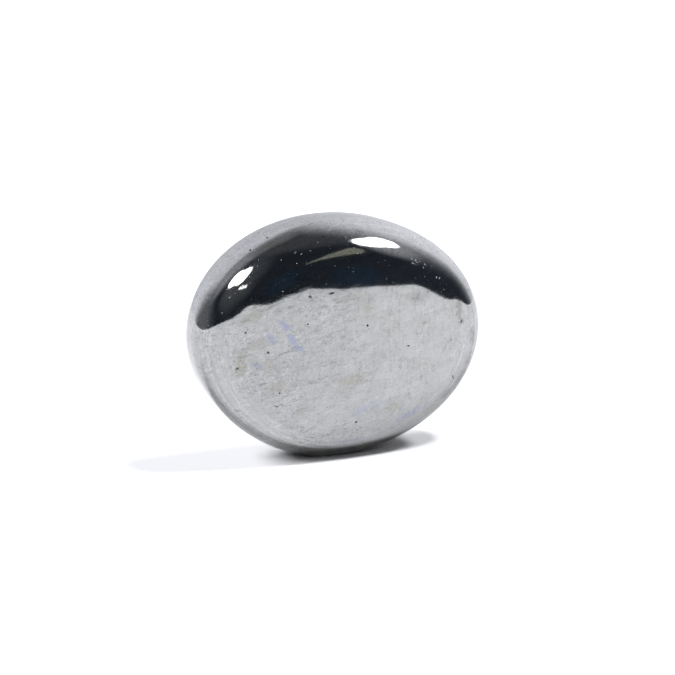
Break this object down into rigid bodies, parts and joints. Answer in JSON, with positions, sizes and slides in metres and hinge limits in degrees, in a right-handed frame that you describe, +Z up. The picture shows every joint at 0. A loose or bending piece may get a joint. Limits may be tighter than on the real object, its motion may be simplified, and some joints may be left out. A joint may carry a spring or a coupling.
{
  "type": "polished hematite palm stone",
  "caption": "Flat oval pebble of tumbled, mirror-polished hematite that stands on its edge on a small flat spot, as a mineral specimen, worry stone or small weight.",
  "frame": {"origin": "centre of the bounding box's base, at the level of the small flat spot that the stone stands on", "axes": "+X along the stone's long way, +Y through its thickness from the face in the picture to the hidden one, +Z up"},
  "size_m": [0.0426, 0.013, 0.0336],
  "materials": {
    "polished_hematite": "steel-grey iron oxide tumbled to a mirror polish, with fine criss-cross polishing scratches, pinprick pits and faint bluish and brown stains"
  },
  "bodies": {
    "root": {"hematite_stone": "polished_hematite"}
  },
  "joints": []
}
